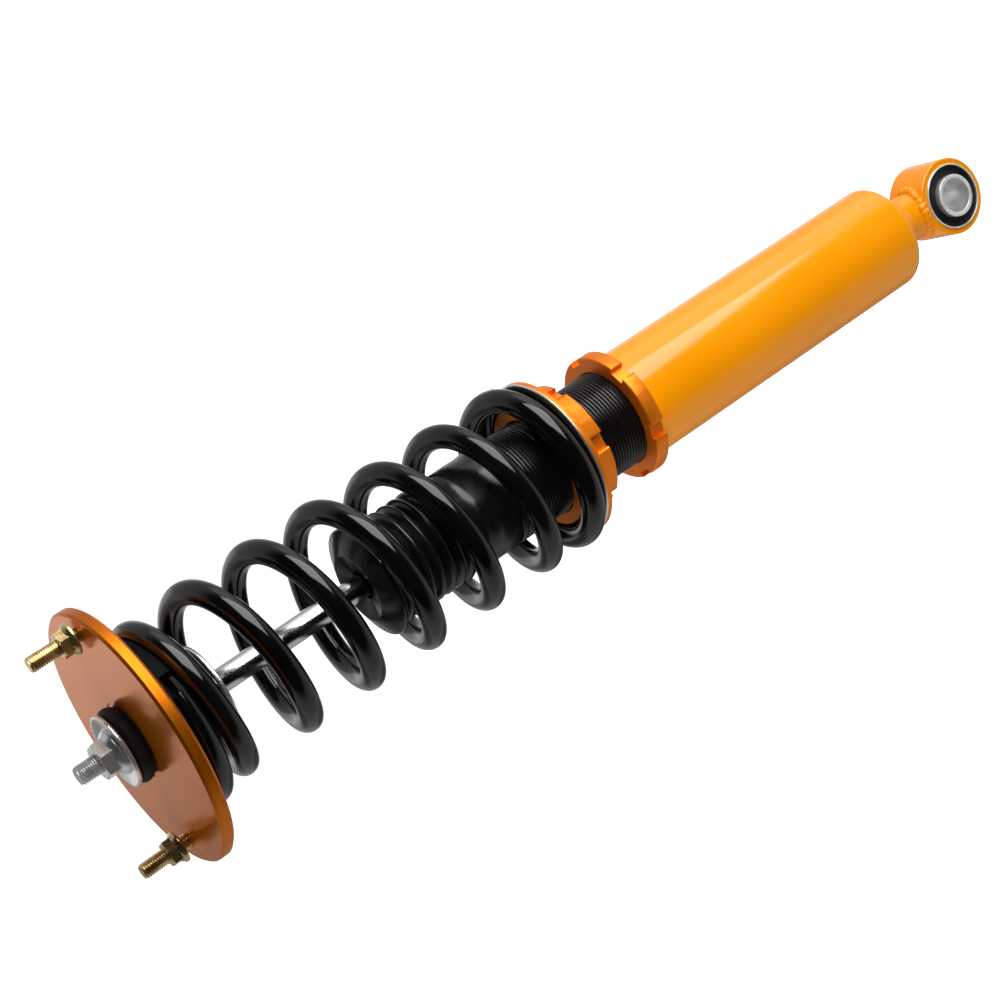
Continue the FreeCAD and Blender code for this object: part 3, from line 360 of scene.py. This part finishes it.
# how far the spring leans at its top, towards which angle, and the turns over which the lean begins
LEAN = 3.5
LEAN_ANGLE = math.radians(21.65)
LEAN_TURNS = (0.5, 1.3)
SPRING_TURNS = ACTIVE_TURNS + sum(turns + ramp for pitch, turns, ramp in (HEAD, FOOT))
SPRING_DROP = SPRING_LENGTH - 2 * (WIRE - GRIND)
CLOSED_DROP = sum(pitch * (turns + ramp / 2) for pitch, turns, ramp in (HEAD, FOOT))
SPRING_PITCH = (SPRING_DROP - CLOSED_DROP) / (ACTIVE_TURNS + (HEAD[2] + FOOT[2]) / 2)


def spring_drop(turn, end_pitch, end_turns, ramp_turns):
    """How far the wire's centre has dropped after so many turns from one end, past its closed turns."""
    if turn <= end_turns:
        return end_pitch * turn
    ramp = min(turn - end_turns, ramp_turns)
    steady = turn - end_turns - ramp
    slope = (SPRING_PITCH - end_pitch) / ramp_turns
    return end_pitch * (end_turns + ramp) + slope * ramp * ramp / 2 + SPRING_PITCH * steady


def spring_point(turn):
    """The wire's centre after so many turns from its upper tip."""
    if turn <= SPRING_TURNS / 2:
        drop = spring_drop(turn, *HEAD)
    else:
        drop = SPRING_DROP - spring_drop(SPRING_TURNS - turn, *FOOT)
    radius = SPRING_INNER + WIRE
    angle = TIP_ANGLE - TURN * turn
    share = min(max((turn - LEAN_TURNS[0]) / (LEAN_TURNS[1] - LEAN_TURNS[0]), 0), 1)
    lean = LEAN * share * share * (3 - 2 * share) * (1 - drop / SPRING_DROP)
    across = radius * math.cos(angle) + lean * math.cos(LEAN_ANGLE)
    along = radius * math.sin(angle) + lean * math.sin(LEAN_ANGLE)
    return Vector((across, along, SPRING_TOP - WIRE + GRIND - drop))


def squash_with_spring(piece):
    """Gives the piece under the plate its own copy of its mesh."""
    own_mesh(piece)


def add_spring():
    """The coil spring: a round wire whose closed ends are ground flat and whose cut faces are bare."""
    stations = 640
    sides = 36
    bm = bmesh.new()
    rings = []
    for index in range(stations + 1):
        turn = SPRING_TURNS * index / stations
        centre = spring_point(turn)
        ahead = spring_point(min(turn + 0.001, SPRING_TURNS)) - spring_point(max(turn - 0.001, 0))
        ahead.normalize()
        out, lift = square_to(ahead, Vector((centre.x, centre.y, 0)).normalized())
        ring = []
        for side in range(sides):
            angle = TURN * side / sides
            point = centre + (out * math.cos(angle) + lift * math.sin(angle)) * WIRE
            point.z = min(max(point.z, SPRING_TOP - SPRING_LENGTH), SPRING_TOP)
            ring.append(bm.verts.new(point * MM))
        rings.append(ring)
    joined(bm, rings)
    for ring in (rings[0], rings[-1]):
        bm.faces.new(ring).material_index = 1
    spring = finished("coated_spring", bm, "black_spring_coat", "top_mount", 50)
    spring.data.materials.append(MATERIALS["cut_steel"])
    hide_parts("main_spring")
    squash_with_spring(spring)


# The seat's lip: its radii, the turns of the wire that it follows, how deep it lies in the wire and its least height
LIP_INNER = 37
LIP_OUTER = 43.8
LIP_TURNS = (0.4, 0.965)
LIP_GAP = 0.1
LIP_LEAST = 0.05


def add_lip():
    """The black lip under the upper seat, which fills the wedge above the wire's first turn."""
    stations = 90
    steps = 8
    first, last = LIP_TURNS
    bm = bmesh.new()
    rings = []
    for index in range(stations + 1):
        centre = spring_point(first + (last - first) * index / stations)
        wire_radius = math.hypot(centre.x, centre.y)
        row = [(LIP_OUTER, SPRING_TOP), (LIP_INNER, SPRING_TOP)]
        for step in range(steps + 1):
            radius = LIP_INNER + (LIP_OUTER - LIP_INNER) * step / steps
            rise = math.sqrt(max(WIRE * WIRE - (radius - wire_radius) ** 2, 0))
            row.append((radius, min(centre.z + rise + LIP_GAP, SPRING_TOP - LIP_LEAST)))
        angle = math.atan2(centre.y, centre.x)
        rings.append([bm.verts.new(Vector((radius * math.cos(angle), radius * math.sin(angle), height)) * MM)
                      for radius, height in row])
    joined(bm, rings)
    bm.faces.new(rings[0])
    bm.faces.new(rings[-1])
    lip = finished("seat_lip", bm, "black_plastic", "top_mount")
    squash_with_spring(lip)


# The rod, as the part has it: the heights of its tip, shoulders and end, its radii and thread, and the two flats
# milled at its tip
ROD_TIP = 31
ROD_SHOULDER = -43
PISTON_TOP = -232
PISTON_END = -249.2
ROD_END = -260.4
ROD_RADIUS = 6.25
ROD_STUD = 5
ROD_THREAD = (ROD_STUD, 0.85, 1.25)
TIP_CHAMFER = 1
END_CHAMFER = 0.8
FLAT_DEPTH = 0.9
FLAT_LENGTH = 8
FLAT_ANGLE = math.radians(-10)
ROD_COLUMNS = 72


def add_rod():
    """The piston rod: a chromed shaft between two M10 threads, with two milled flats at the tip."""
    rows = ring_rows([(0, ROD_END)], ROD_COLUMNS)
    rows += thread_rows(ROD_THREAD, ROD_END, PISTON_END, ROD_COLUMNS, END_CHAMFER)
    rows += ring_rows([(ROD_STUD, PISTON_END), (ROD_STUD, PISTON_TOP), (ROD_RADIUS, PISTON_TOP),
                       (ROD_RADIUS, ROD_SHOULDER), (ROD_STUD, ROD_SHOULDER), (ROD_STUD, 0)], ROD_COLUMNS)
    rows += thread_rows(ROD_THREAD, 0, ROD_TIP, ROD_COLUMNS, TIP_CHAMFER)
    rows += ring_rows([(0, ROD_TIP)], ROD_COLUMNS)
    flat = ROD_STUD - FLAT_DEPTH
    for row in rows:
        for index, (radius, angle, height) in enumerate(row):
            reach = abs(math.cos(angle - FLAT_ANGLE)) * radius
            if height > ROD_TIP - FLAT_LENGTH and reach > flat:
                row[index] = (radius * flat / reach, angle, height)
    bm = skinned(rows)
    for face in bm.faces:
        middle = face.calc_center_median() / MM
        if ROD_SHOULDER - 0.01 > middle.z > PISTON_TOP:
            face.material_index = 1
    rod =finished("chromed_rod", bm, "plain_steel", "top_mount")
    rod.data.materials.append(MATERIALS["chrome_rod"])
    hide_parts("piston_rod")


# The dust boot's sizes, as the part has them
CUFF_RADIUS = 27.4
RIBS_LOW = -190
RIB_COUNT = 7
RIB_PITCH = 6.5
GROOVE_RADIUS = 24.3
RIB_RISE = 3.2
BOOT_WALL = 1.5
# radius and height of the points of the cuff's lower rim, of its shoulder under the ribs, and of its inside
CUFF_RIM = ((25.1, BODY_THREAD_TOP), (27.1, BODY_THREAD_TOP), (CUFF_RADIUS, -219.1))
CUFF_SHOULDER = ((27.25, -197.4), (26.9, -196.2), (26.2, -194.6), (25.4, -192.8), (24.7, -191.2))
CUFF_INSIDE = ((24.9, BODY_TOP), (22.6, -194.5))
# the cone's points over its rim and its dish to the hole and back inside, with heights above the ribs
CONE = ((GROOVE_RADIUS, 0), (24.9, 0.25), (29.3, 2.4), (29.85, 2.85), (30, 3.5), (30, 4.2), (29.8, 4.8), (29.2, 5.2),
        (24.2, 7.55), (18.95, 9.95), (18.5, 10.1), (17.9, 10.1), (17.5, 9.95), (8.2, 7.3), (7.75, 7), (7.65, 6.6),
        (7.65, 4.6), (7.9, 4.2), (GROOVE_RADIUS - BOOT_WALL, 4.2))
# points on a rib, how round it is, and the share of its pitch at each side that its groove takes
RIB_STEPS = 13
RIB_ROUND = 0.62
RIB_GROOVE = 0.06
# the heights between which the cuff is dented, and how soon the dents fade above and below
DENTS_LOW = -219
DENTS_HIGH = -198
FADE_LOW = 2
FADE_HIGH = 3


def boot_outline():
    """Radius and height of the points along the boot's skin, from the cuff over the ribs and the cone to the hole,
    and back along its inside."""
    outline = [*CUFF_RIM, *((CUFF_RADIUS, -218.6 + 1.5 * step) for step in range(14)), *CUFF_SHOULDER]
    inside = [*CUFF_INSIDE]
    for rib in range(RIB_COUNT):
        for step in range(RIB_STEPS):
            share = step / RIB_STEPS
            across = min(max((share - RIB_GROOVE) / (1 - 2 * RIB_GROOVE), 0), 1)
            swell = max(math.sin(math.pi * across), 0) ** RIB_ROUND
            outline.append((GROOVE_RADIUS + RIB_RISE * swell, RIBS_LOW + (rib + share) * RIB_PITCH))
        for share, reach in ((0.1, 0), (0.3, 1), (0.7, 1), (0.9, 0)):
            inside.append((GROOVE_RADIUS + reach * RIB_RISE - BOOT_WALL, RIBS_LOW + (rib + share) * RIB_PITCH))
    top = RIBS_LOW + RIB_COUNT * RIB_PITCH
    return outline + [(radius, top + height) for radius, height in CONE] + inside[::-1]


def add_boot():
    """The dust boot: soft round ribs between a cuff that hugs the body's neck and a cone that is dished at the rod.
    Slow waves leave its outside uneven, with deeper dents in the cuff."""
    columns = 144
    rows = []
    for radius, height in boot_outline():
        cuff = min(max((DENTS_HIGH - height) / FADE_HIGH, 0), 1) * min(max((height - DENTS_LOW) / FADE_LOW, 0), 1)
        row = []
        for column in range(columns + 1):
            angle = TURN * column / columns
            if radius > GROOVE_RADIUS - 0.1:
                dent = 0.16 * math.sin(3 * angle + 1.3) * math.sin(height * 0.42)
                dent += 0.1 * math.sin(7 * angle + height * 0.3) - 0.2
                wave = 0.09 * math.sin(2 * angle + height * 0.17) + 0.05 * math.sin(5 * angle - height * 0.31)
                row.append((radius + cuff * dent + (1 - cuff) * wave, angle, height))
            else:
                row.append((radius, angle, height))
        rows.append(row)
    boot = finished("bellows_boot", skinned(rows + rows[:1]), "black_boot_rubber", "damper_body", 40)
    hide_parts("dust_boot")


# The eye's place and sizes, as the part has them, with the weld's radius and the height above the eye's centre from
# which its bead faces away
EYE_CENTRE = Vector((0, 0, -560))
EYE_TURN = Matrix.Rotation(math.radians(-82.75), 3, "Z")
EYE_RADIUS = 21.75
STUB_RADIUS = 13.5
WELD_RADIUS = 2.8
WELD_MIDDLE = 12
# the bush's sleeves: outer and inner radius, half length and rounding; the outer one stands out of the eye by a
# millimetre at each end, as in the photograph
OUTER_SLEEVE = (18.5, 17.5, 15.6, 0.4)
INNER_SLEEVE = (12.05, 9.5, 18, 0.4)


def weld_point(angle):
    """A point of the line where the stub's skin meets the eye's."""
    across = STUB_RADIUS * math.sin(angle)
    height = math.sqrt(EYE_RADIUS * EYE_RADIUS - across * across)
    return EYE_CENTRE + EYE_TURN @ Vector((STUB_RADIUS * math.cos(angle), across, height))


def add_weld():
    """The weld round the stub at the eye: a bead of overlapping ripples."""
    columns = 384
    sides = 14
    ripples = 26
    middle = EYE_TURN @ Vector((0, 0, WELD_MIDDLE))
    bm = bmesh.new()
    rings = []
    for column in range(columns):
        angle = TURN * column / columns
        centre = weld_point(angle)
        ahead = (weld_point(angle + 0.01) - weld_point(angle - 0.01)).normalized()
        out, lift = square_to(ahead, (centre - EYE_CENTRE - middle).normalized())
        ring = []
        for side in range(sides):
            around = TURN * side / sides
            phase = (column * ripples / columns + 0.35 * math.cos(around)) % 1
            swell = WELD_RADIUS * (0.72 + 0.28 * math.sqrt(max(1 - (2 * phase - 1) ** 2, 0)))
            swell += 0.3 * math.sin(angle * 5 + 1) + 0.2 * math.sin(angle * 11 + 3 * math.sin(around))
            point = centre + (out * math.cos(around) + lift * math.sin(around)) * swell
            ring.append(bm.verts.new(point * MM))
        rings.append(ring)
    joined(bm, rings + rings[:1])
    weld = finished("rippled_weld", bm, "orange_paint", "lower_mount", 60)
    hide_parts("weld_beads")


def add_sleeve(name, node, body, sizes):
    """A sleeve of the bush in the eye, with rounded rims and bare ends."""
    outer, inner, reach, edge = sizes
    cut = 0.3 * edge
    outline = ((outer, -reach + edge), (outer, reach - edge), (outer - cut, reach - cut), (outer - edge, reach),
               (inner + edge, reach), (inner + cut, reach - cut), (inner, reach - edge), (inner, -reach + edge),
               (inner + cut, -reach + cut), (inner + edge, -reach), (outer - edge, -reach), (outer - cut, -reach + cut))
    bm = turned(outline, 144)
    for face in bm.faces:
        if abs(face.calc_center_median().z) > (reach - 0.2 * edge) * MM:
            face.material_index = 1
    lay = EYE_TURN @ Matrix.Rotation(math.radians(90), 3, "Y")
    for vert in bm.verts:
        vert.co = lay @ vert.co + EYE_CENTRE * MM
    sleeve = finished(name, bm, "bright_zinc", body, 60)
    sleeve.data.materials.append(MATERIALS["cut_steel"])
    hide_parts(node)


def add_sleeves():
    add_sleeve("outer_sleeve", "bush_outer_sleeve", "lower_mount", OUTER_SLEEVE)
    add_sleeve("inner_sleeve", "bush_inner_sleeve", "eye_sleeve", INNER_SLEEVE)


# The two bushes: each one's bore, the spigot in the plate's hole, and its softly barrelled skin from plate to washer
UPPER_BUSH = ((7, 7.5), (7, -3.3), (14.7, -3.3), (14.7, -0.5), (18.1, -0.5), (18.3, 0.2), (18.9, 1.2), (19.5, 2.4),
              (19.85, 3.6), (19.95, 4.8), (19.7, 6), (19.1, 6.9), (18.2, 7.35), (17, 7.5))
LOWER_BUSH = ((7, -41), (7, -4.2), (14.7, -4.2), (14.7, -7), (19.5, -7), (21, -7.4), (22.1, -8.5), (22.5, -10),
              (22.5, -24), (22.6, -32), (22.9, -36), (23.2, -38.6), (23.3, -39.8), (23.2, -40.6), (22.8, -41))


def add_bushes():
    for name, node, outline in (("upper_barrel", "upper_bush", UPPER_BUSH), ("lower_barrel", "lower_bush", LOWER_BUSH)):
        bush = finished(name, turned(outline, 120), "black_rubber", "top_mount", 40)
        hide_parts(node)


# The polished corner of the perch's flange: its radius and height, and the points of its outline beside that corner
FLANGE_RADIUS = 44
FLANGE_TOP = -260.5
FLANGE_CORNER = ((-1, -0.6), (-1, 0.04), (-0.5, 0.04), (0.06, -0.5), (0.06, -0.7), (-0.4, -0.9))


def add_flange_edge():
    """The bright turned corner of the perch's flange, on the spring's side."""
    outline = [(FLANGE_RADIUS + out, FLANGE_TOP + up) for out, up in FLANGE_CORNER]
    finished("flange_edge", turned(outline, 144), "bright_zinc", "perch", 20)


# Turned and milled pieces, with the width of their rounded edges
EDGE_WIDTHS = {"spring_perch": 0.45, "lock_collar": 0.45, "rod_nut": 0.3, "stud_nuts": 0.25, "top_washer": 0.3,
               "lower_washer": 0.3, "upper_spring_seat": 0.6}


def soften_edges():
    """Rounds the sharp edges of turned and milled pieces by a hair, so that they catch the light."""
    for name, width in EDGE_WIDTHS.items():
        join = nodes[name].modifiers.new("join", "WELD")
        join.merge_threshold = 2e-6
        bevel = nodes[name].modifiers.new("edge", "BEVEL")
        bevel.width = width * MM
        bevel.segments = 2
        bevel.limit_method = "ANGLE"
        bevel.angle_limit = math.radians(40)
        bevel.harden_normals = True


def dress_nodes():
    """Every CAD node gets its slot's material."""
    slots = {part["node"]: part["material_slot"] for part in frame["record"]["subparts"]}
    for name, node in nodes.items():
        node.data.materials.clear()
        node.data.materials.append(MATERIALS[slots[name]])


# Stage and lights

FLOOR_HEIGHT = -0.616
FLOOR_RADIUS = 6
BACKDROP_RADIUS = 6.2


def add_stage():
    """A pale floor under the part and a pale backdrop round it. Only the camera sees them, so that the lights
    alone make the part's reflections."""
    material, tree, shader, place = new_material("pale_stage")
    tree.links.new(mixed(tree, noise(tree, place, 2), (0.9, 0.9, 0.9), (0.93, 0.93, 0.93)), shader.inputs["Base Color"])
    shader.inputs["Roughness"].default_value = 0.9
    shader.inputs["Emission Color"].default_value = (1, 1, 1, 1)
    shader.inputs["Emission Strength"].default_value = 1
    bpy.ops.mesh.primitive_circle_add(vertices=128, radius=FLOOR_RADIUS, fill_type="NGON",
                                      location=(0, 0, FLOOR_HEIGHT))
    floor = bpy.context.object
    floor.name = "floor"
    bpy.ops.mesh.primitive_uv_sphere_add(segments=64, ring_count=32, radius=BACKDROP_RADIUS)
    backdrop = bpy.context.object
    backdrop.name = "backdrop"
    for stage in (floor, backdrop):
        stage.data.materials.append(material)
        stage.visible_diffuse = False
        stage.visible_glossy = False
        stage.visible_transmission = False
        stage.visible_shadow = False


# Each glow of the light tent: its way as the camera sees it, the cosines where it starts and is full, its strength
GLOWS = (
    ((0, 0, -1), -0.3, 0, 0.45),
    ((-0.15, 0.25, -1), 0.9, 0.98, 0.4),
    ((-0.02, 0.99, -0.1), 0.9, 0.98, 0.75),
    ((-0.65, -0.1, -0.75), 0.94, 0.98, 0.5),
    ((-0.45, -0.6, -0.66), 0.93, 0.99, -0.3),
    ((0.42, -0.3, -0.86), 0.93, 0.985, -0.3),
)


def add_world():
    """Bright behind the part and dim in front, as in the photograph's light tent."""
    world = bpy.data.worlds.new("studio")
    world.use_nodes = True
    bpy.context.scene.world = world
    tree = world.node_tree
    background = next(node for node in tree.nodes if node.type == "BACKGROUND")
    way = tree.nodes.new("ShaderNodeTexCoord").outputs["Generated"]
    total = None
    for aim, start, full, strength in GLOWS:
        dot = tree.nodes.new("ShaderNodeVectorMath")
        dot.operation = "DOT_PRODUCT"
        dot.inputs[1].default_value = TO_WORLD.to_3x3() @ Vector(aim).normalized()
        tree.links.new(way, dot.inputs[0])
        glow = spread(tree, dot.outputs["Value"], 0, strength, start, full)
        if total is None:
            total = glow
            continue
        plus = tree.nodes.new("ShaderNodeMath")
        plus.operation = "ADD"
        tree.links.new(total, plus.inputs[0])
        tree.links.new(glow, plus.inputs[1])
        total = plus.outputs["Value"]
    tree.links.new(total, background.inputs["Strength"])
    background.inputs["Color"].default_value = (1, 1, 1, 1)


# How far along its axis the damper's middle is from the plate
MIDDLE = 0.27
# Each light as the camera sees it: its place from the damper's middle, the way opposite to the one it shines, the
# way of its width, its width, length and watts, and whether it shows in reflections
LIGHTS = {
    "key": ((-0.028, 0.767, 0.634), (0.2, 0.93, 0.3), (0.322, -0.351, 0.876), 0.95, 1, 14.6, True),
    "front_fill": ((0.2, -0.1, 1), (0.2, -0.1, 1), (1, 0, 0), 1, 1, 2.7, False),
    "low_fill": ((0.2, -1, 0), (0.2, -1, 0), (1, 0, 0), 1.2, 1.2, 8.5, False),
}


def add_lights():
    """Soft rectangular lights, none of which the camera sees."""
    for name, (place, back, side, width, length, power, glossy) in LIGHTS.items():
        data = bpy.data.lights.new(name, "AREA")
        data.shape = "RECTANGLE"
        data.size = width
        data.size_y = length
        data.energy = power
        light = bpy.data.objects.new(name, data)
        back = Vector(back).normalized()
        side, third = square_to(back, Vector(side))
        turn = Matrix((side, third, back)).transposed()
        middle = VIEW_CENTRE + VIEW_AXIS * MIDDLE
        light.matrix_world = TO_WORLD @ Matrix.Translation(middle + Vector(place)) @ turn.to_4x4()
        light.visible_camera = False
        light.visible_glossy = glossy
        bpy.context.scene.collection.objects.link(light)


scene = bpy.context.scene
scene.view_settings.view_transform = "Standard"
add_camera()
dress_nodes()
add_studs()
add_body()
add_spring()
add_lip()
add_rod()
add_boot()
add_weld()
add_sleeves()
add_bushes()
add_flange_edge()
soften_edges()
add_stage()
add_world()
add_lights()
